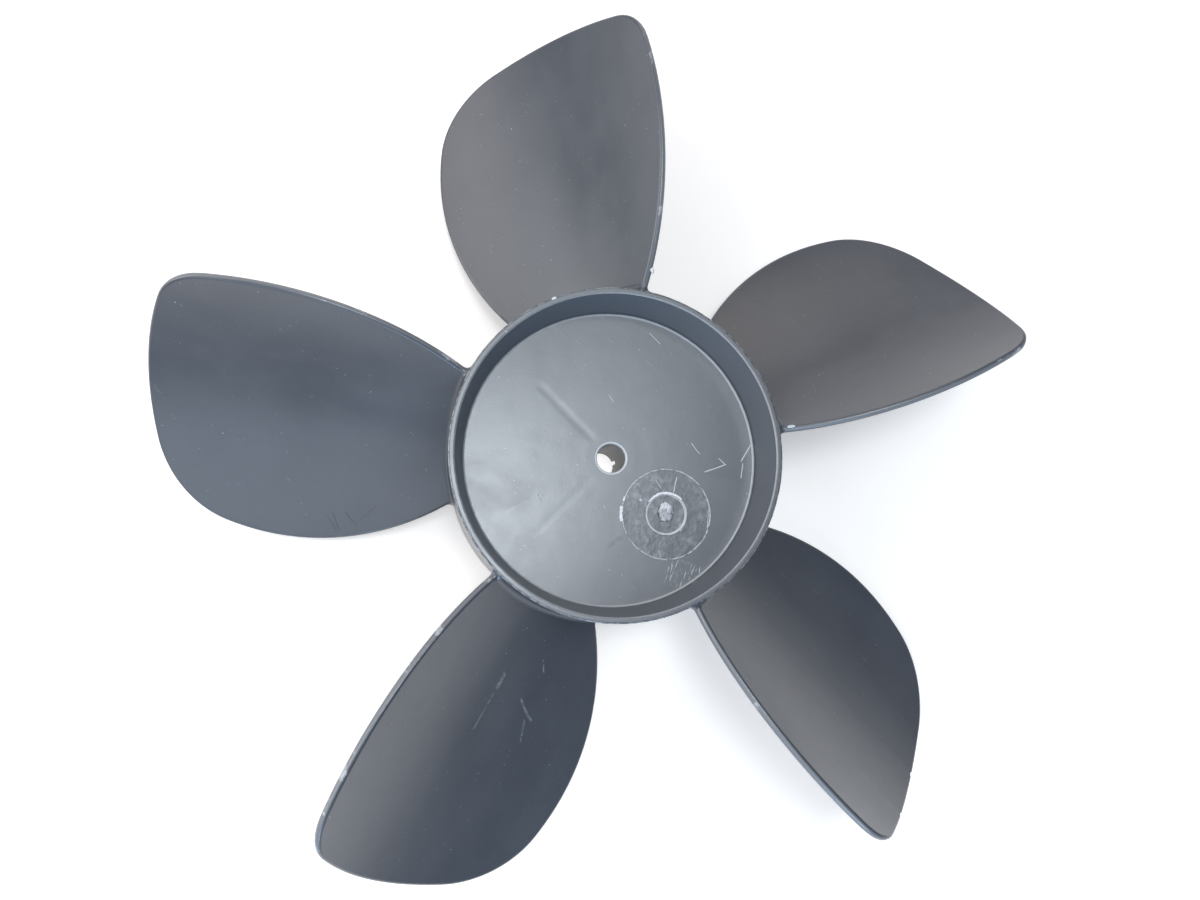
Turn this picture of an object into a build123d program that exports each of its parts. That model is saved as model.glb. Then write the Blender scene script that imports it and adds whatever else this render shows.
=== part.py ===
"""Axial fan impeller: a dished hub, a shaft boss, floor ribs and five blades, moulded in one piece.

Millimetres. Z is the shaft axis. The origin is the centre of the boss's rear face, where the
hub seats on its shaft, and +Z runs towards the open front dish. The impeller lies on the rear
edge of its hub with the dish upwards.
"""

import os
from math import cos, radians, sin, sqrt

from build123d import *

# Hub shell
HUB_RADIUS = 44.9  # outside of the front rim
HUB_HEIGHT = 44.1  # front rim to rear edge
HUB_DRAFT = 0.6  # the outer wall is this much slimmer at the rear edge
RIM_RADIUS = 43.2  # inside of the front rim
FLOOR_RADIUS = 40.8  # dish floor, at the foot of its sloping wall
DISH_DEPTH = 13.6
FLOOR_THICKNESS = 2.2
REAR_WALL = 1.8  # shell wall at the rear edge
CAVITY_DRAFT = 0.6
EDGE_ROUNDING = 0.5
INSIDE_ROUNDING = 1.0

# Shaft boss
BORE_RADIUS = 4.0
BORE_LENGTH = 22.0  # dish floor to the boss's rear face
BORE_MOUTH_ROUNDING = 0.4
BOSS_RADIUS = 10.5  # at the dish floor
BOSS_DRAFT = 1.0
SLOT_WIDTH = 1.2  # two crossing slots split the boss's rear end
SLOT_DEPTH = 5.0
SLOT_ANGLE = 15.0

# Ribs behind the dish floor
RIB_COUNT = 4
RIB_THICKNESS = 1.6
RIB_DEPTH_AT_BOSS = 13.0
RIB_DEPTH_AT_WALL = 8.0
RIB_ANGLE = 45.0

# Gate mark: a shallow disc in the dish floor, a well in it, and the broken stub of the feed
GATE_OFFSET = 21.9
GATE_ANGLE = -44.6
GATE_DISC_RADIUS = 12.5
GATE_DISC_DEPTH = 0.25
GATE_WELL_RADIUS = 5.6
GATE_WELL_DEPTH = 0.7
GATE_STUB_RADIUS = 1.8
GATE_STUB_HEIGHT = 1.0

# Blades: a sheet bent to one radius, cut to an outline drawn flat in the blade's own plane
BLADE_COUNT = 5
FIRST_BLADE_ANGLE = 27.0
BLADE_THICKNESS = 2.0
BLADE_EDGE_ROUNDING = 0.8
BLADE_PITCH = 41.0  # chord against the plane of rotation
BLADE_RAKE = 6.1  # the span leans back towards the rear
BLADE_CAMBER_RADIUS = 106
BLADE_CENTRE_RADIUS = 83.7  # where the blade's plane is hung, from the shaft axis
BLADE_WIDTH = 78.4
BLADE_REACH = 43.6  # from the blade's centre to its tip, along the span
FRONT_EDGE_RADIUS = 94
FRONT_EDGE_CREST = 13.3  # where the front edge stands furthest out, along the span
REAR_EDGE_RADIUS = 72
REAR_EDGE_CREST = 5.3
TIP_EDGE_RADIUS = 74.3
TIP_EDGE_CREST = 1.2  # along the chord
FRONT_CORNER_RADIUS = 15.5
REAR_CORNER_RADIUS = 26.8
ROOT_DROP = 1.1  # the front edge meets the hub wall this far below the rim
ROOT_SINK = 0.8  # how far a blade's root runs into the hub wall
ROOT_FILLET = 1.8

# Nicks in the blades' edges: which blade, then span, chord and radius of the bite
NICKS = (
    (1, 22.5, 37.9, 1.3),
    (3, -19.4, 35.6, 1.3),
    (4, 44.3, -0.5, 1.6),
    (4, 41.6, -18.4, 1.5),
)

FLOOR_Z = BORE_LENGTH
UNDERSIDE_Z = FLOOR_Z - FLOOR_THICKNESS
RIM_Z = FLOOR_Z + DISH_DEPTH
REAR_Z = RIM_Z - HUB_HEIGHT
REAR_RADIUS = HUB_RADIUS - HUB_DRAFT
CAVITY_RADIUS = REAR_RADIUS - REAR_WALL
BOSS_END_RADIUS = BOSS_RADIUS - BOSS_DRAFT
BLADE_STEP = 360 / BLADE_COUNT


def turned(corners):
    """Solid turned about the shaft axis from ((radius, height), rounding) corners."""
    points = [point for point, rounding in corners]
    roundings = [rounding for point, rounding in corners]
    with BuildPart() as body:
        with BuildSketch(Plane.XZ.rotated((0, 0, FIRST_BLADE_ANGLE - BLADE_STEP / 2))):
            with BuildLine():
                FilletPolyline(*points, radius=roundings, close=True)
            make_face()
        revolve(axis=Axis.Z)
    return body.part


def hub_shell():
    """Dish, floor, outer wall and bored boss as one turned section."""
    return turned(
        [
            ((BORE_RADIUS, 0), 0),
            ((BOSS_END_RADIUS, 0), EDGE_ROUNDING),
            ((BOSS_RADIUS, UNDERSIDE_Z), INSIDE_ROUNDING),
            ((CAVITY_RADIUS - CAVITY_DRAFT, UNDERSIDE_Z), INSIDE_ROUNDING),
            ((CAVITY_RADIUS, REAR_Z), EDGE_ROUNDING),
            ((REAR_RADIUS, REAR_Z), EDGE_ROUNDING),
            ((HUB_RADIUS, RIM_Z), EDGE_ROUNDING),
            ((RIM_RADIUS, RIM_Z), EDGE_ROUNDING),
            ((FLOOR_RADIUS, FLOOR_Z), EDGE_ROUNDING),
            ((BORE_RADIUS, FLOOR_Z), BORE_MOUTH_ROUNDING),
        ]
    )


def floor_rib():
    """One rib behind the floor, from the boss to the outer wall, along +X."""
    start = (BOSS_END_RADIUS + BORE_RADIUS) / 2
    end = CAVITY_RADIUS + REAR_WALL / 2 - CAVITY_DRAFT
    top = UNDERSIDE_Z + FLOOR_THICKNESS / 2
    with BuildPart() as rib:
        with BuildSketch(Plane.XZ):
            with BuildLine():
                Polyline(
                    (start, top),
                    (end, top),
                    (end, UNDERSIDE_Z - RIB_DEPTH_AT_WALL),
                    (start, UNDERSIDE_Z - RIB_DEPTH_AT_BOSS),
                    close=True,
                )
            make_face()
        extrude(amount=RIB_THICKNESS / 2, both=True)
    return rib.part


def boss_slot():
    """One straight slot through the boss's rear end."""
    return Box(
        2 * BOSS_RADIUS + 2 * EDGE_ROUNDING,
        SLOT_WIDTH,
        2 * SLOT_DEPTH,
    )


def gate_recess():
    """Disc and well that the gate leaves in the floor, around the stub that stays."""
    centre = Pos(GATE_OFFSET, 0, FLOOR_Z)
    disc = Cylinder(GATE_DISC_RADIUS, 2 * GATE_DISC_DEPTH)
    well = Cylinder(GATE_WELL_RADIUS, 2 * GATE_WELL_DEPTH)
    return centre * (disc + well)


def gate_stub():
    """Broken end of the feed, standing in the gate's well."""
    stub = Cone(
        GATE_STUB_RADIUS,
        GATE_STUB_RADIUS / 2,
        GATE_STUB_HEIGHT + GATE_WELL_DEPTH,
        align=(Align.CENTER, Align.CENTER, Align.MIN),
    )
    return Pos(GATE_OFFSET, 0, FLOOR_Z - 2 * GATE_WELL_DEPTH) * stub


def root_limit():
    """Drum that a blade's root is cut back to, just inside the hub's outer wall."""
    below, above = REAR_Z - BLADE_WIDTH, RIM_Z + BLADE_WIDTH
    slope = HUB_DRAFT / HUB_HEIGHT
    inner = REAR_RADIUS - ROOT_SINK
    return turned(
        [
            ((0, below), 0),
            ((inner - slope * BLADE_WIDTH, below), 0),
            ((inner + slope * (HUB_HEIGHT + BLADE_WIDTH), above), 0),
            ((0, above), 0),
        ]
    )


def front_edge_at(span):
    """Chord position of the front edge, flat in the blade's plane, at a distance along its span."""
    centre = FRONT_EDGE_RADIUS - BLADE_WIDTH / 2
    return centre - sqrt(FRONT_EDGE_RADIUS**2 - (span - FRONT_EDGE_CREST) ** 2)


def blade_centre_height():
    """Height that brings the front edge to the hub wall ROOT_DROP below the rim."""
    pitch, rake = radians(BLADE_PITCH), radians(BLADE_RAKE)
    inward = HUB_RADIUS - BLADE_CENTRE_RADIUS
    sideways = front_edge_at(inward) * cos(pitch)
    inward = sqrt(HUB_RADIUS**2 - sideways**2) - BLADE_CENTRE_RADIUS
    chord = front_edge_at(inward)
    hollow = BLADE_CAMBER_RADIUS - sqrt(BLADE_CAMBER_RADIUS**2 - chord**2)
    rise = hollow * cos(pitch) - chord * sin(pitch) - inward * sin(rake)
    return RIM_Z - ROOT_DROP - rise


def blade_plane():
    """Plane of the unbent blade over +X: x along its span, y along its chord."""
    pitch, rake = radians(BLADE_PITCH), radians(BLADE_RAKE)
    span = Vector(cos(rake), 0, -sin(rake))
    chord = Vector(-sin(pitch) * sin(rake), cos(pitch), -sin(pitch) * cos(rake))
    centre = Vector(BLADE_CENTRE_RADIUS, 0, blade_centre_height())
    return Plane(origin=centre, x_dir=span, z_dir=span.cross(chord))


def blade():
    """One blade over +X: cut to its outline, bent, rounded along its edges, open at the root."""
    flat = blade_plane()
    centre, span, chord = flat.origin, flat.x_dir, flat.y_dir
    across = Plane(origin=centre, x_dir=chord, z_dir=span)
    half_width = BLADE_WIDTH / 2
    with BuildPart() as sheet:
        with BuildSketch(flat):
            with Locations((FRONT_EDGE_CREST, FRONT_EDGE_RADIUS - half_width)):
                Circle(FRONT_EDGE_RADIUS)
            with Locations((REAR_EDGE_CREST, half_width - REAR_EDGE_RADIUS)):
                Circle(REAR_EDGE_RADIUS, mode=Mode.INTERSECT)
            with Locations((BLADE_REACH - TIP_EDGE_RADIUS, TIP_EDGE_CREST)):
                Circle(TIP_EDGE_RADIUS, mode=Mode.INTERSECT)
        extrude(amount=half_width / 2, both=True)
        for toward, rounding in (
            (span + chord, REAR_CORNER_RADIUS),
            (span - chord, FRONT_CORNER_RADIUS),
        ):
            corners = sheet.edges().filter_by(Axis(centre, flat.z_dir))
            fillet(corners.sort_by(Axis(centre, toward))[-1], rounding)
        with BuildSketch(across):
            with Locations((0, BLADE_CAMBER_RADIUS)):
                Circle(BLADE_CAMBER_RADIUS + BLADE_THICKNESS / 2)
                Circle(BLADE_CAMBER_RADIUS - BLADE_THICKNESS / 2, mode=Mode.SUBTRACT)
        extrude(amount=2 * BLADE_REACH, both=True, mode=Mode.INTERSECT)
        long_edges = sheet.edges().filter_by(lambda edge: edge.length > 2 * BLADE_THICKNESS)
        fillet(long_edges, BLADE_EDGE_ROUNDING)
    return sheet.part - root_limit()


def nick(span, chord, radius):
    """Cutter for a nick in a blade's edge, standing across the blade over +X."""
    return blade_plane() * Pos(span, chord, 0) * Cylinder(radius, BLADE_WIDTH / 2)


def root_edges(body):
    """Edges where the blades meet the hub's outer wall."""
    slope = HUB_DRAFT / HUB_HEIGHT

    def on_wall(edge):
        for place in (0.1, 0.5, 0.9):
            point = edge @ place
            wall = REAR_RADIUS + slope * (point.Z - REAR_Z)
            if abs(Vector(point.X, point.Y).length - wall) > 0.02:
                return False
        return True

    curved = body.edges().filter_by(GeomType.BSPLINE)
    return curved.filter_by(on_wall)


def impeller():
    """The whole moulding."""
    body = hub_shell()
    for turn in range(RIB_COUNT):
        body += Rot(0, 0, RIB_ANGLE + turn * 360 / RIB_COUNT) * floor_rib()
    for turn in (SLOT_ANGLE, SLOT_ANGLE + 90):
        body -= Rot(0, 0, turn) * boss_slot()
    one_blade = blade()
    for turn in range(BLADE_COUNT):
        body += Rot(0, 0, FIRST_BLADE_ANGLE + turn * BLADE_STEP) * one_blade
    body = fillet(root_edges(body), ROOT_FILLET)
    for which, span, chord, radius in NICKS:
        body -= Rot(0, 0, FIRST_BLADE_ANGLE + which * BLADE_STEP) * nick(span, chord, radius)
    body -= Rot(0, 0, GATE_ANGLE) * gate_recess()
    body += Rot(0, 0, GATE_ANGLE) * gate_stub()
    return body


os.makedirs("parts", exist_ok=True)
export_step(impeller(), "parts/impeller.step")
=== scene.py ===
"""Looks of the axial fan impeller: one moulding of worn, satin dark grey plastic on a table."""

from functools import reduce
from math import cos, pi, radians, sin

import bpy
from mathutils import Matrix, Vector


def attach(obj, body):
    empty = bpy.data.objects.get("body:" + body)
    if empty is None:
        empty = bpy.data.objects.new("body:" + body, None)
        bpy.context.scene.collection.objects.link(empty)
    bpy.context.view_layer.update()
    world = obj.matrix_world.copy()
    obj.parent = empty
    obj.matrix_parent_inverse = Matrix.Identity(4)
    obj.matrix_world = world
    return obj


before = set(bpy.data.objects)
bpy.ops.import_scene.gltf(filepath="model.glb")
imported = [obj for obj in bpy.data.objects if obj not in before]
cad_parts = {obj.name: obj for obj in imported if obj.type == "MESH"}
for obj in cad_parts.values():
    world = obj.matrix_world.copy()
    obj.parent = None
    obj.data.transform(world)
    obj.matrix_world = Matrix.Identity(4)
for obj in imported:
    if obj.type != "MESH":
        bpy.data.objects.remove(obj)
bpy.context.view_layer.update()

# Sizes and places are in millimetres and angles in degrees, except where a comment says otherwise
MM = 0.001

# Hub
RIM_Z = 35.6
FLOOR_Z = 22.0
REST_Z = -8.5
HUB_RADIUS = 44.9
DISH_RADIUS = 43.2
FLOOR_RADIUS = 40.8
BORE_RADIUS = 4.0
BOSS_RADIUS = 10.5
# How far from the axis the sink marks over the ribs begin and end, and their half width
RIB_SINK_START = 8.5
RIB_SINK_END = 27.0
RIB_SINK_WIDTH = 1.8

# Blades: the sheet's middle, then its outline as it lies flat, in span outwards and chord across
BLADE_STEP = 360 / 5
FIRST_BLADE_ANGLE = 27.0
BLADE_PITCH = 41.0
BLADE_RAKE = 6.1
BLADE_MIDDLE_RADIUS = 83.7
BLADE_MIDDLE_Z = 14.7
HALF_WIDTH = 39.2
REACH = 43.6
FRONT_RADIUS = 94.0
REAR_RADIUS = 72.0
TIP_RADIUS = 74.3
# Discs and rounded corners: the centre's span and chord, and the radius
FRONT_DISC = (13.3, FRONT_RADIUS - HALF_WIDTH, FRONT_RADIUS)
REAR_DISC = (5.3, HALF_WIDTH - REAR_RADIUS, REAR_RADIUS)
TIP_DISC = (REACH - TIP_RADIUS, 1.2, TIP_RADIUS)
FRONT_CORNER = (22.8, -23.1, 15.5)
REAR_CORNER = (15.7, 11.2, 26.8)
# Half the stretch over which a corner's arc takes over from the discs
CORNER_BLEND = 0.3

# Gate mark in the dish floor
GATE_CENTRE = (15.53, -15.36)
GATE_DISC_RADIUS = 12.5
GATE_WELL_RADIUS = 5.6

# Scratches in the dish floor: start, end and width
SCRATCHES = (
    ((26.0, -3.6), (33.2, -1.1), 0.22),
    ((30.4, 0.6), (32.8, -1.5), 0.18),
    ((37.1, -0.6), (40.2, 4.8), 0.24),
    ((37.7, -0.5), (37.0, -5.4), 0.18),
    ((-20.1, -10.1), (-19.4, -11.9), 0.20),
    ((-19.4, -11.9), (-18.7, -10.4), 0.22),
    ((10.8, 36.1), (14.4, 32.6), 0.14),
    ((22.7, 4.9), (25.3, 1.4), 0.16),
    ((-0.8, 17.9), (0.8, 15.5), 0.14),
    ((-2.2, -12.9), (-1.7, -14.2), 0.16),
    ((18.6, -4.6), (17.6, -9.7), 0.20),
    ((12.3, -5.6), (14.2, -8.4), 0.14),
    ((27.6, -13.5), (27.2, -20.0), 0.14),
)
# Dark rub mark below the bore
RUB_MARK = ((-1.9, -25.4), (3.8, -21.0), 0.9)
# Marks on the lower left blade, pale, and on the left blade, dark
PALE_BLADE_MARKS = (
    ((-28.2, -58.0), (-30.8, -63.0), 0.75),
    ((-30.9, -62.8), (-37.6, -75.0), 0.22),
    ((-23.7, -65.6), (-21.3, -71.2), 0.50),
    ((-21.8, -70.2), (-19.9, -73.0), 0.55),
    ((-22.2, -71.8), (-23.3, -79.0), 0.35),
    ((-17.6, -55.2), (-17.1, -59.4), 0.30),
)
DARK_BLADE_MARKS = (
    ((-77.2, -14.0), (-74.9, -19.6), 0.34),
    ((-78.8, -15.0), (-75.6, -19.6), 0.26),
    ((-73.6, -14.0), (-69.9, -18.5), 0.32),
    ((-69.6, -17.0), (-64.3, -12.0), 0.20),
)
# Short scrapes beside the gate mark, all in one direction
SCRAPE_CENTRE = (20.3, -32.2)
SCRAPE_ANGLE = 74.0
# Direction of the hair scratches that lie all over
HAIR_ANGLE = 37.0

# Below this roughness the dish floor renders with dark blotches
SHARPEST_GLOSS = 0.285

# Table
TABLE_GAP = 0.2
TABLE_WIDTH = 4000.0
# Distances from the axis where the table starts to turn darker and where it is darkest
TABLE_FADE_START = 180.0
TABLE_FADE_END = 300.0
# Spot of the table that shows through the bore, where the table glows brighter for the camera:
# painted light
BORE_GLOW_RADIUS = 12.0

# How far the lamps stand from the dish, in metres
LAMP_DISTANCE = 1.2

# Camera: its place, the direction from the part towards it, what is up for it, and its lens
CAMERA_PLACE = (-45.31, -33.51, 295.64)
CAMERA_TOWARDS = (-0.151, -0.128, 0.980)
CAMERA_UP = (-0.019, 0.992, 0.127)
LENS = 30.22
SENSOR_WIDTH = 36.0


def rgb(red, green, blue):
    """Opaque colour in linear light."""
    return (red, green, blue, 1.0)


DARK_GREY = rgb(0.048, 0.053, 0.064)
LIGHT_GREY = rgb(0.068, 0.073, 0.084)
# Painted sheen: a lighter blue-grey for the dish wall than the rest of the plastic
WALL_SHEEN_GREY = rgb(0.155, 0.168, 0.188)
RIM_GREY = rgb(0.12, 0.125, 0.13)
GATE_DARK = rgb(0.030, 0.034, 0.040)
GATE_PALE = rgb(0.17, 0.18, 0.19)
RUBBED_BLACK = rgb(0.018, 0.018, 0.020)
# Pale colour of wear and scratches, and also of the painted highlights on edges and flash lines
PALE_WEAR_AND_HIGHLIGHT = rgb(0.60, 0.61, 0.62)
DUST = rgb(0.55, 0.54, 0.52)
TORN_GREY = rgb(0.24, 0.25, 0.265)
TORN_WHITE = rgb(0.88, 0.89, 0.91)
TABLE_NEAR = rgb(0.92, 0.86, 0.80)
TABLE_FAR = rgb(0.40, 0.38, 0.36)
SKY_BLUE = rgb(0.68, 0.80, 1.0)
WHITE = rgb(1.0, 1.0, 1.0)


class Field:
    """What a node gives, with Python's operators for the Math nodes that work on it."""

    def __init__(self, nodes, socket):
        self.nodes = nodes
        self.socket = socket

    def math(self, operation, *others):
        return self.nodes.node(
            "ShaderNodeMath", {"operation": operation}, dict(enumerate((self, *others)))
        )

    def __add__(self, other):
        return self.math("ADD", other)

    __radd__ = __add__

    def __sub__(self, other):
        return self.math("SUBTRACT", other)

    def __rsub__(self, other):
        return self.nodes.node("ShaderNodeMath", {"operation": "SUBTRACT"}, {0: other, 1: self})

    def __mul__(self, other):
        return self.math("MULTIPLY", other)

    __rmul__ = __mul__

    def __truediv__(self, other):
        return self.math("DIVIDE", other)

    def __abs__(self):
        return self.math("ABSOLUTE")

    def at_least(self, other):
        return self.math("MAXIMUM", other)

    def at_most(self, other):
        return self.math("MINIMUM", other)

    def ramp(self, start, end):
        """0 where this is at start, 1 where it is at end, smooth between; start may be larger."""
        return self.nodes.node(
            "ShaderNodeMapRange",
            {"interpolation_type": "SMOOTHSTEP", "clamp": True},
            {"Value": self, "From Min": start, "From Max": end},
        )

    def band(self, low, high, soft):
        """1 between low and high, fading over soft on each side."""
        return self.ramp(low - soft, low) * self.ramp(high + soft, high)


def length(along, across):
    """Length of a flat vector from its two parts."""
    return (along * along + across * across).math("SQRT")


class Nodes:
    """The nodes of a material or of the world, with none to start with."""

    def __init__(self, tree):
        self.tree = tree
        self.tree.nodes.clear()

    def set(self, socket, value):
        """Links a Field to the socket, or gives the socket a plain value."""
        if isinstance(value, Field):
            self.tree.links.new(value.socket, socket)
        else:
            socket.default_value = value

    def node(self, kind, settings=None, values=None, output=0):
        """Any node: its settings are set first, then the values or links of its sockets."""
        made = self.tree.nodes.new(kind)
        for name, setting in (settings or {}).items():
            setattr(made, name, setting)
        for name, value in (values or {}).items():
            self.set(made.inputs[name], value)
        return Field(self, made.outputs[output])


class Finish(Nodes):
    """A material under construction: one Principled shader and the nodes that feed it."""

    def __init__(self, name):
        self.material = bpy.data.materials.new(name)
        self.material.use_nodes = True
        super().__init__(self.material.node_tree)
        self.output = self.tree.nodes.new("ShaderNodeOutputMaterial")
        self.shader = self.tree.nodes.new("ShaderNodeBsdfPrincipled")
        self.show(Field(self, self.shader.outputs[0]))

    def show(self, shader):
        """Makes the surface look as this shader says."""
        self.set(self.output.inputs["Surface"], shader)

    def feed(self, name, value):
        """Sets one socket of the Principled shader."""
        self.set(self.shader.inputs[name], value)

    def bump(self, strength, height):
        """Raises the surface by height, in millimetres, in its shading only."""
        values = {"Strength": strength, "Distance": MM, "Height": height}
        self.feed("Normal", self.node("ShaderNodeBump", values=values))

    def position(self):
        """Object coordinates in millimetres."""
        metres = self.node("ShaderNodeTexCoord", output="Object")
        return self.node(
            "ShaderNodeVectorMath", {"operation": "SCALE"}, {0: metres, "Scale": 1 / MM}
        )

    def split(self, vector):
        """X, Y and Z of a vector."""
        apart = self.node("ShaderNodeSeparateXYZ", values={0: vector}).socket.node
        return [Field(self, socket) for socket in apart.outputs]

    def turned(self, vector, angle):
        """The vector turned about the Z axis by an angle in radians."""
        return self.node(
            "ShaderNodeVectorRotate",
            {"rotation_type": "Z_AXIS"},
            {"Vector": vector, "Angle": angle},
        )

    def noise(self, vector, size, detail=2.0, roughness=0.5, stretch=(1, 1, 1)):
        """Cloudy pattern from 0 to 1 whose features are about size millimetres across."""
        placed = self.node(
            "ShaderNodeMapping",
            values={"Vector": vector, "Scale": [part / size for part in stretch]},
        )
        return self.node(
            "ShaderNodeTexNoise",
            values={"Vector": placed, "Scale": 1.0, "Detail": detail, "Roughness": roughness},
        )

    def mixed(self, factor, first, second):
        """First colour where factor is 0, second where it is 1."""
        # A Mix node keeps its two colours in its sockets 6 and 7, and gives the mix in socket 2
        colours = {0: factor, 6: first, 7: second}
        return self.node("ShaderNodeMix", {"data_type": "RGBA"}, colours, output=2)


class WornPlastic(Finish):
    """Satin dark grey moulding: where its parts lie, and masks for the wear that they show and
    for the highlights painted on them.
    """

    def __init__(self):
        super().__init__("worn_plastic")
        self.place = self.position()
        self.x, self.y, self.z = self.split(self.place)
        self.radius = length(self.x, self.y)

        self.on_blade = self.radius.ramp(HUB_RADIUS + 0.6, HUB_RADIUS + 2.1)
        self.on_floor = self.radius.ramp(FLOOR_RADIUS + 0.6, FLOOR_RADIUS - 0.2)
        self.on_floor = self.on_floor * self.z.ramp(FLOOR_Z - 1.5, FLOOR_Z - 0.8)

        self.grain = self.noise(self.place, 0.45, 2.0)
        self.cloud = self.noise(self.place, 26.0, 3.0)
        self.patch = self.noise(self.place, 5.0, 4.0, 0.6)
        self.ragged = self.noise(self.place, 1.4, 3.0, 0.7)

    def on_first_blade(self):
        """Position turned about the axis, so that every blade's is that of the blade over +X."""
        step, first = radians(BLADE_STEP), radians(FIRST_BLADE_ANGLE)
        count = ((self.y.math("ARCTAN2", self.x) - first) / step).math("ROUND")
        return self.turned(self.place, -first - count * step)

    def blade_edge(self, on_first_blade):
        """Millimetres inwards from a blade's edge."""
        x, y, z = self.split(on_first_blade)
        pitch, rake = radians(BLADE_PITCH), radians(BLADE_RAKE)
        out, up = x - BLADE_MIDDLE_RADIUS, z - BLADE_MIDDLE_Z
        span = out * cos(rake) - up * sin(rake)
        chord = y * cos(pitch) - out * (sin(pitch) * sin(rake)) - up * (sin(pitch) * cos(rake))

        def inside(disc):
            return disc[2] - length(span - disc[0], chord - disc[1])

        def rounded(edge, corner, disc):
            """The edge, measured to the corner's arc between the disc and the tip."""
            along, across = span - corner[0], chord - corner[1]
            start = Vector((corner[0] - disc[0], corner[1] - disc[1])).normalized()
            end = Vector((corner[0] - TIP_DISC[0], corner[1] - TIP_DISC[1])).normalized()
            turn = 1 if start.cross(end) > 0 else -1
            past_start = (across * start.x - along * start.y) * turn
            before_end = (along * end.y - across * end.x) * turn
            on_arc = past_start.ramp(-CORNER_BLEND, CORNER_BLEND)
            on_arc = on_arc * before_end.ramp(-CORNER_BLEND, CORNER_BLEND)
            return edge + (inside(corner) - edge) * on_arc

        edge = inside(FRONT_DISC).at_most(inside(REAR_DISC)).at_most(inside(TIP_DISC))
        return rounded(rounded(edge, FRONT_CORNER, FRONT_DISC), REAR_CORNER, REAR_DISC)

    def worn_and_highlit_edges(self, edge):
        """Pale edges of blades, rim, floor and bore: worn patches on the blades, and painted
        highlights on the blades' edge faces, the rim's edges, the floor's edge and the bore's
        mouth.
        """
        worn = (edge + self.ragged * 1.2).ramp(1.15, 0.75) * self.on_blade
        worn = worn * self.patch.ramp(0.52, 0.60) * self.cloud.ramp(0.50, 0.60)
        # Painted highlight: the blades' edge faces are lightened all along
        thin = edge.ramp(0.5, 0.1) * self.on_blade
        by_rim = self.z.ramp(RIM_Z - 0.6, RIM_Z - 0.3)
        by_floor = self.z.band(FLOOR_Z - 0.2, FLOOR_Z + 0.5, 0.2)
        by_bore = self.z.ramp(FLOOR_Z - 0.8, FLOOR_Z - 0.4)
        # Painted highlights: the rim's outer edge, broken up like wear, the rim's inner edge, the
        # floor's edge and the bore's mouth
        outer = self.radius.band(HUB_RADIUS - 0.3, HUB_RADIUS - 0.15, 0.12) * by_rim
        inner = self.radius.band(DISH_RADIUS - 0.05, DISH_RADIUS + 0.15, 0.12) * by_rim
        floor = self.radius.band(FLOOR_RADIUS - 0.25, FLOOR_RADIUS + 0.05, 0.2) * by_floor
        bore = self.radius.band(BORE_RADIUS, BORE_RADIUS + 0.45, 0.2) * by_bore
        pale = (worn * 0.7).at_least(thin * 0.22)
        pale = pale.at_least(outer * self.ragged.ramp(0.40, 0.62) * 0.5).at_least(inner * 0.40)
        return pale.at_least(floor * 0.55).at_least(bore * 0.9)

    def gate_mark(self):
        """Masks of the gate disc, of its ring, and of the pale lines round disc and well, which
        are painted highlights on the raised flash lines.
        """
        wander = (self.patch - 0.5) * 0.35
        radius = length(self.x - GATE_CENTRE[0], self.y - GATE_CENTRE[1]) + wander
        disc = radius.ramp(GATE_DISC_RADIUS + 0.1, GATE_DISC_RADIUS - 0.2) * self.on_floor
        ring = radius.band(GATE_DISC_RADIUS - 0.12, GATE_DISC_RADIUS + 0.12, 0.12)
        well = radius.band(GATE_WELL_RADIUS - 0.25, GATE_WELL_RADIUS + 0.2, 0.15)
        # Painted highlights where the flash lines round the disc and the well catch the light
        lines = (ring * self.ragged.ramp(0.30, 0.55) + well) * self.on_floor
        return disc, ring * self.on_floor, lines

    def stroke(self, start, end, width):
        """Straight mark, tapering off at its ends."""
        start, end = Vector(start), Vector(end)
        reach = (end - start).length
        way = (end - start) / reach
        from_x, from_y = self.x - start.x, self.y - start.y
        along = from_x * way.x + from_y * way.y
        wander = (self.patch - 0.5) * 0.5
        aside = abs(from_y * way.x - from_x * way.y + wander)
        taper = along.band(0.15 * reach, 0.85 * reach, 0.15 * reach)
        return aside.ramp(width, width * 0.3) * taper

    def strokes(self, marks):
        """All marks of a list together."""
        return reduce(Field.at_least, [self.stroke(*mark) for mark in marks])

    def scrapes(self):
        """Short parallel scrapes beside the gate mark."""
        lean = radians(SCRAPE_ANGLE)
        from_x, from_y = self.x - SCRAPE_CENTRE[0], self.y - SCRAPE_CENTRE[1]
        down = from_x * cos(lean) + from_y * sin(lean)
        aside = from_y * cos(lean) - from_x * sin(lean)
        laid = self.node("ShaderNodeCombineXYZ", values={0: down, 1: aside})
        ticks = self.noise(laid, 0.5, 1.0, stretch=(0.16, 1, 1)).ramp(0.56, 0.64)
        return ticks * down.band(-2.8, 2.8, 1.4) * aside.band(-6.5, 5.0, 1.5)

    def hair_scratches(self):
        """Fine scratches all over, in patches."""
        dragged = self.turned(self.place, radians(HAIR_ANGLE))
        hair = self.noise(dragged, 0.35, 1.0, stretch=(0.03, 1, 0.4)).ramp(0.70, 0.76)
        return hair * self.patch.ramp(0.52, 0.66)

    def rib_sinks(self):
        """Sink marks over the four ribs behind the floor, deepest at the upper left."""
        from_rib = abs(self.x + self.y).at_most(abs(self.x - self.y)) * cos(radians(45))
        line = from_rib.ramp(RIB_SINK_WIDTH, 0.0)
        line = line * self.radius.band(RIB_SINK_START, RIB_SINK_END, 3.0)
        upper_left = (self.y - self.x).ramp(4.0, 14.0) * 0.8
        lower_left = (self.x + self.y).ramp(-8.0, -16.0) * 0.28
        return line * (upper_left.at_least(lower_left) + 0.06)


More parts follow.
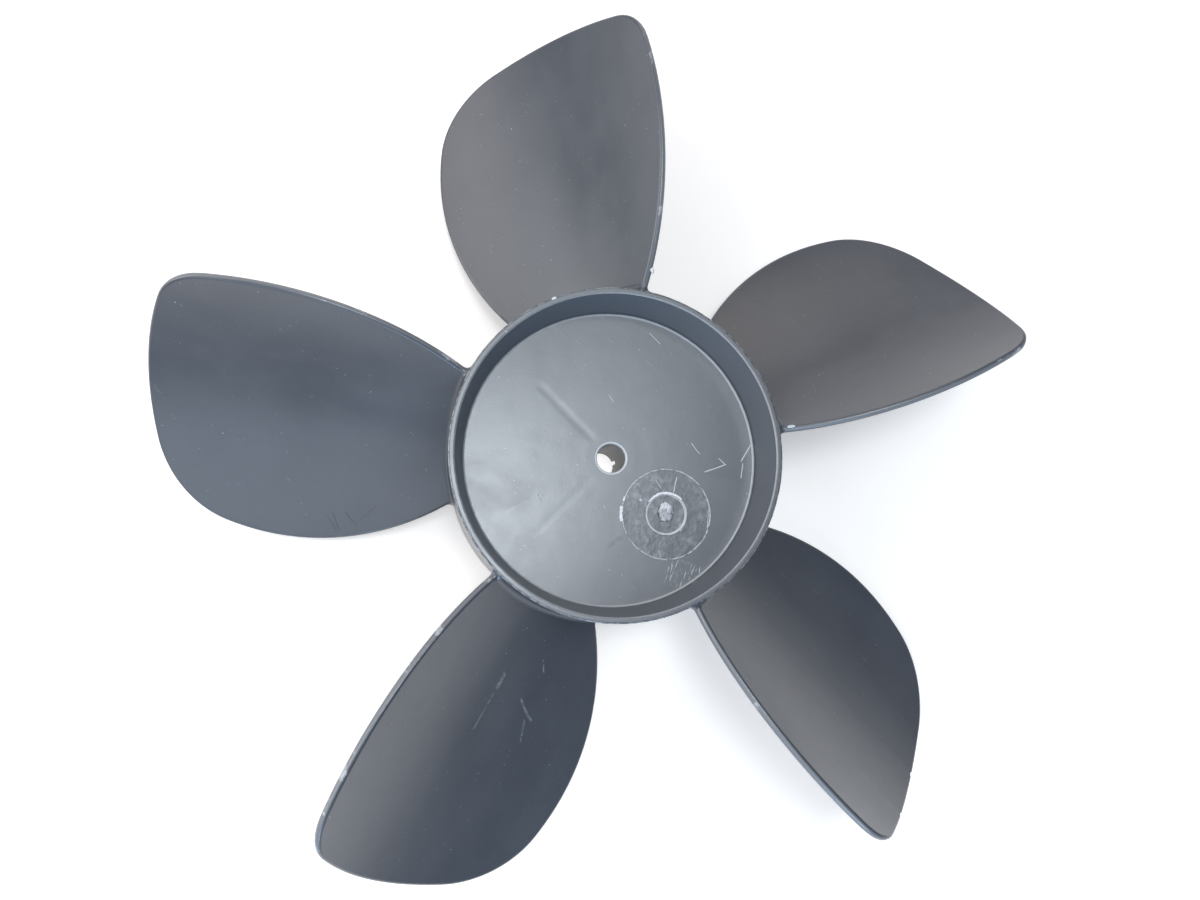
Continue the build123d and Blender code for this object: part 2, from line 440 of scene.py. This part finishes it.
def worn_plastic():
    """Satin dark grey plastic with grain, dust, scuffs, scratches and pale worn edges, painted
    highlights on edges and flash lines, and a painted sheen on the dish wall.
    """
    finish = WornPlastic()
    radius, z = finish.radius, finish.z
    grain, cloud, patch = finish.grain, finish.cloud, finish.patch
    on_floor, on_blade = finish.on_floor, finish.on_blade
    blade_place = finish.on_first_blade()
    flow = finish.noise(blade_place, 13.0, 3.0, stretch=(0.4, 1, 1))
    mottled = finish.noise(finish.place, 2.6, 3.0, 0.6)
    speck = finish.noise(finish.place, 0.8, 1.0)

    # Masks of places and marks
    on_rim = z.ramp(RIM_Z - 0.5, RIM_Z - 0.05)
    on_rim = on_rim * radius.band(DISH_RADIUS - 0.7, HUB_RADIUS + 0.3, 0.4)
    on_wall = radius.band(FLOOR_RADIUS + 0.4, DISH_RADIUS + 0.2, 0.3)
    on_wall = on_wall * z.band(FLOOR_Z + 0.6, RIM_Z - 0.8, 0.4)
    in_gate, gate_ring, gate_highlight_lines = finish.gate_mark()
    scratched = finish.strokes(SCRATCHES).at_least(finish.scrapes() * 0.45) * on_floor
    rubbed = finish.stroke(*RUB_MARK) * finish.ragged.ramp(0.42, 0.55) * on_floor
    pale_marks = finish.strokes(PALE_BLADE_MARKS) * finish.ragged.ramp(0.34, 0.60) * on_blade
    dark_marks = finish.strokes(DARK_BLADE_MARKS) * on_blade
    dark = rubbed.at_least(dark_marks * 0.7)
    dust = speck.ramp(0.76, 0.80) * patch.ramp(0.40, 0.62)
    # Pale wear and scratches, together with painted highlights along edges and the gate's flash
    # lines
    pale = finish.worn_and_highlit_edges(finish.blade_edge(blade_place))
    pale = pale.at_least(gate_highlight_lines).at_least(scratched * 0.9)
    pale = pale.at_least(finish.hair_scratches() * 0.22).at_least(pale_marks * 0.26)

    shade = (cloud * 0.4 + flow * 0.35 + grain * 0.25).ramp(0.34, 0.66)
    base = finish.mixed(shade, DARK_GREY, LIGHT_GREY)
    # Painted sheen on the dish wall
    base = finish.mixed(on_wall * 0.8, base, WALL_SHEEN_GREY)
    base = finish.mixed(in_gate * mottled.ramp(0.60, 0.35) * 0.6, base, GATE_DARK)
    base = finish.mixed(in_gate * mottled.ramp(0.50, 0.70) * 0.8, base, GATE_PALE)
    base = finish.mixed(dark * 0.8, base, RUBBED_BLACK)
    base = finish.mixed(on_rim * 0.3, base, RIM_GREY)
    # Pale wear and scratches, and painted highlights on edges and flash lines
    base = finish.mixed(pale, base, PALE_WEAR_AND_HIGHLIGHT)
    base = finish.mixed(dust * 0.6, base, DUST)
    finish.feed("Base Color", base)

    gloss = 0.32 + 0.08 * (patch - 0.5) + 0.05 * (cloud - 0.5) + 0.10 * (flow - 0.5)
    gloss = gloss + 0.12 * pale + 0.10 * dark_marks + 0.03 * in_gate - 0.02 * on_floor
    finish.feed("Roughness", gloss.at_least(SHARPEST_GLOSS))
    finish.feed("Specular IOR Level", 1.0)
    finish.feed("IOR", 1.5)

    boss_sink = radius.band(BOSS_RADIUS - 1.5, BOSS_RADIUS - 0.5, 2.5)
    height = grain * 0.022 + patch * 0.04 + cloud * 0.05
    height = height - finish.rib_sinks() * 0.06 - boss_sink * 0.012 - scratched * 0.05
    height = height + gate_ring * 0.12 + in_gate * mottled * 0.15
    finish.bump(0.6, height)
    return finish.material


def torn_plastic():
    """The same plastic where it was torn: rough and stress-whitened."""
    finish = Finish("torn_plastic")
    place = finish.position()
    x, y, _ = finish.split(place)
    shreds = finish.noise(place, 0.5, 4.0, 0.7)
    wide = finish.noise(place, 1.8, 2.0)
    # The tears left of the gate mark and above its middle are the whitest
    fresh = x.ramp(9.5, 6.0).at_least(y.ramp(-12.8, -11.0))
    white = shreds.ramp(0.35, 0.65) * 0.6 + wide.ramp(0.4, 0.7) * 0.3 + fresh * 0.6
    finish.feed("Base Color", finish.mixed(white, TORN_GREY, TORN_WHITE))
    finish.feed("Roughness", 0.45 + 0.25 * shreds)
    finish.bump(0.8, shreds * 0.15)
    return finish.material


def table_top():
    """White table that looks a little brighter than the lamps make it."""
    finish = Finish("white_table")
    x, y, _ = finish.split(finish.position())
    from_axis = length(x, y)
    far_off = from_axis.ramp(TABLE_FADE_START, TABLE_FADE_END)
    finish.feed("Base Color", finish.mixed(far_off, TABLE_NEAR, TABLE_FAR))
    finish.feed("Roughness", 0.9)
    finish.feed("Specular IOR Level", 0.1)

    # A glow that only the camera and the plastic's reflections see
    seen = finish.node("ShaderNodeLightPath", output="Is Camera Ray")
    mirrored = finish.node("ShaderNodeLightPath", output="Is Glossy Ray")
    glow_under_bore = from_axis.ramp(BORE_GLOW_RADIUS + 2.0, BORE_GLOW_RADIUS)
    seen_glow = seen * (0.38 + 0.5 * glow_under_bore + 0.7 * far_off)
    mirrored_glow = mirrored * (0.46 - 0.46 * far_off)
    white = finish.node("ShaderNodeEmission", values={"Color": WHITE, "Strength": 1.0})
    glow = finish.node("ShaderNodeMixShader", values={0: seen_glow + mirrored_glow, 2: white})
    lit = Field(finish, finish.shader.outputs[0])
    glowing = finish.node("ShaderNodeAddShader", values={0: lit, 1: glow})

    # The camera looks through it from below
    from_below = finish.node("ShaderNodeNewGeometry", output="Backfacing") * seen
    clear = finish.node("ShaderNodeBsdfTransparent")
    sides = {0: from_below, 1: glowing, 2: clear}
    finish.show(finish.node("ShaderNodeMixShader", values=sides))
    return finish.material


def make_table():
    """Table just under the hub's rear edge."""
    bpy.ops.object.select_all(action="DESELECT")
    bpy.ops.mesh.primitive_plane_add(
        size=TABLE_WIDTH * MM, location=(0, 0, (REST_Z - TABLE_GAP) * MM)
    )
    table = bpy.context.active_object
    table.name = "table"
    bpy.ops.object.transform_apply(location=True, rotation=True, scale=True)
    table.data.materials.append(table_top())


def start_piece(name, material):
    """Gives the active new object its name, material and body."""
    piece = bpy.context.active_object
    piece.name = name
    piece.data.materials.append(material)
    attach(piece, "root")


def roughened(offset, seed):
    """Shifts every point of the object being edited a little, so that its edges look torn."""
    bpy.ops.mesh.select_all(action="SELECT")
    bpy.ops.transform.vertex_random(offset=offset * MM, uniform=0.7, seed=seed)
    bpy.ops.mesh.normals_make_consistent(inside=False)


def torn_lip(name, radius, thickness, start, end, height, seed, material):
    """Ragged lip standing round part of the gate mark, swept about its centre."""
    bpy.ops.object.select_all(action="DESELECT")
    turn, sweep = radians(start), radians(end - start)
    centre = Vector((GATE_CENTRE[0] * MM, GATE_CENTRE[1] * MM, height * MM))
    outward = Vector((cos(turn), sin(turn), 0))
    bpy.ops.mesh.primitive_circle_add(
        vertices=8,
        radius=thickness * MM,
        fill_type="NGON",
        location=centre + outward * radius * MM,
        rotation=(radians(90), 0, turn),
    )
    bpy.ops.object.mode_set(mode="EDIT")
    bpy.ops.mesh.select_all(action="SELECT")
    steps = max(6, round(sweep * radius / 0.45))
    bpy.ops.mesh.spin(steps=steps, angle=-sweep, center=centre, axis=(0, 0, 1))
    bpy.ops.mesh.select_all(action="SELECT")
    bpy.ops.mesh.remove_doubles(threshold=0.001 * MM)
    roughened(thickness * 0.45, seed)
    bpy.ops.object.mode_set(mode="OBJECT")
    bpy.ops.object.transform_apply(location=True, rotation=True, scale=True)
    soften = bpy.context.active_object.modifiers.new("soften", "SUBSURF")
    soften.levels = soften.render_levels = 1
    bpy.ops.object.modifier_apply(modifier=soften.name)
    bpy.ops.object.shade_smooth()
    start_piece(name, material)


def flake(name, place, size, turn, seed, material):
    """Torn scrap of plastic: a lump pressed to its size and roughened."""
    bpy.ops.object.select_all(action="DESELECT")
    bpy.ops.mesh.primitive_ico_sphere_add(
        subdivisions=3,
        radius=0.5 * MM,
        location=[part * MM for part in place],
        rotation=(0, 0, radians(turn)),
        scale=size,
    )
    bpy.ops.object.transform_apply(location=True, rotation=True, scale=True)
    bpy.ops.object.mode_set(mode="EDIT")
    roughened(min(size) * 0.28, seed)
    bpy.ops.object.mode_set(mode="OBJECT")
    bpy.ops.object.shade_smooth()
    start_piece(name, material)


def make_gate_mark(torn, plastic):
    """Lips and scraps left where the feed was torn off."""
    torn_lip("gate_edge_lip", GATE_DISC_RADIUS, 0.13, 0, 359, 21.95, 1, plastic)
    torn_lip("gate_edge_tear", 12.8, 0.55, 170, 190, 22.1, 5, torn)
    torn_lip("gate_edge_tear_small", 12.6, 0.32, 158, 164, 22.05, 8, torn)
    torn_lip("gate_well_lip", GATE_WELL_RADIUS + 0.1, 0.24, 0, 359, 21.80, 3, plastic)
    torn_lip("gate_well_tear", GATE_WELL_RADIUS + 0.25, 0.45, 42, 148, 21.9, 7, torn)
    flake("gate_torn_end", (15.35, -14.8, 21.95), (4.0, 5.7, 1.5), 0, 4, torn)
    flake("gate_scrap_top", (15.3, -9.6, 21.95), (1.4, 0.9, 0.7), 20, 6, torn)
    flake("gate_scrap_left", (8.3, -11.6, 21.85), (0.9, 0.9, 0.5), 0, 9, torn)
    flake("gate_scrap_low", (19.7, -19.8, 21.85), (1.2, 0.6, 0.5), 40, 11, torn)


def make_edge_scraps(torn):
    """Pale scraps on the rim and at the blades' roots."""
    flake("rim_scrap_upper", (-17.6, 41.0, 35.45), (1.6, 0.7, 0.5), 25, 0, torn)
    flake("rim_scrap_left", (-30.2, 31.6, 35.4), (0.7, 1.3, 0.4), -45, 1, torn)
    flake("root_scrap_top", (8.9, 49.6, 36.6), (0.9, 1.6, 0.6), 15, 2, torn)
    flake("root_scrap_right", (47.2, 7.8, 36.2), (2.2, 0.7, 0.5), 12, 3, torn)


def lamp(name, azimuth, elevation, size, brightness, colour):
    """Soft round lamp aimed at the dish: size in metres, and brightness 1 looks white."""
    data = bpy.data.lights.new(name, "AREA")
    data.shape = "DISK"
    data.size = size
    data.energy = brightness * pi * pi * (size / 2) ** 2
    data.color = colour
    made = bpy.data.objects.new(name, data)
    bpy.context.collection.objects.link(made)
    around, above = radians(azimuth), radians(elevation)
    back = Vector((cos(around) * cos(above), sin(around) * cos(above), sin(above)))
    made.location = Vector((0, 0, FLOOR_Z * MM)) + back * LAMP_DISTANCE
    made.rotation_euler = back.to_track_quat("Z", "Y").to_euler()


def make_lamps():
    """One strong lamp overhead, and weaker, wider ones round the -X side."""
    lamp("overhead", 125, 86.9, 0.30, 17.6, (0.86, 0.93, 1.0))
    lamp("overhead_wide", 60, 77, 0.50, 3.4, (0.88, 0.96, 1.0))
    lamp("left", 170, 35, 1.00, 1.65, (1.0, 0.99, 0.99))
    lamp("left_low", 180, 15, 0.70, 2.4, (0.95, 1.0, 0.98))
    lamp("left_front", 230, 35, 1.00, 1.45, (0.76, 0.86, 1.0))
    lamp("front_low", 270, 12, 0.70, 4.9, (0.52, 0.74, 1.0))
    lamp("left_back", 130, 30, 0.80, 1.4, (1.0, 0.90, 0.89))
    lamp("back_low", 90, 20, 0.70, 1.3, (1.0, 0.90, 0.80))


def make_world():
    """Weak blue light all round, and plain white where the camera looks past everything."""
    world = bpy.data.worlds.new("studio")
    world.use_nodes = True
    nodes = Nodes(world.node_tree)
    output = nodes.tree.nodes.new("ShaderNodeOutputWorld")
    soft = nodes.node("ShaderNodeBackground", values={"Color": SKY_BLUE, "Strength": 0.32})
    white = nodes.node("ShaderNodeBackground", values={"Color": WHITE, "Strength": 1.0})
    seen = nodes.node("ShaderNodeLightPath", output="Is Camera Ray")
    backdrop = nodes.node("ShaderNodeMixShader", values={0: seen, 1: soft, 2: white})
    nodes.set(output.inputs["Surface"], backdrop)
    bpy.context.scene.world = world


def make_camera():
    """Close above the dish, a little to the left and below, as the part lies on the table."""
    data = bpy.data.cameras.new("camera")
    data.sensor_width = SENSOR_WIDTH
    data.lens = LENS
    data.clip_start = 10 * MM
    made = bpy.data.objects.new("camera", data)
    bpy.context.collection.objects.link(made)
    towards = Vector(CAMERA_TOWARDS).normalized()
    right = Vector(CAMERA_UP).cross(towards).normalized()
    up = towards.cross(right)
    turn = Matrix((right, up, towards)).transposed().to_4x4()
    made.matrix_world = Matrix.Translation(Vector(CAMERA_PLACE) * MM) @ turn
    bpy.context.scene.camera = made


make_camera()
make_world()
make_table()
make_lamps()

plastic = worn_plastic()
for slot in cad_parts["impeller"].material_slots:
    slot.material = plastic
torn = torn_plastic()
make_gate_mark(torn, plastic)
make_edge_scraps(torn)

bpy.context.scene.view_settings.view_transform = "Standard"
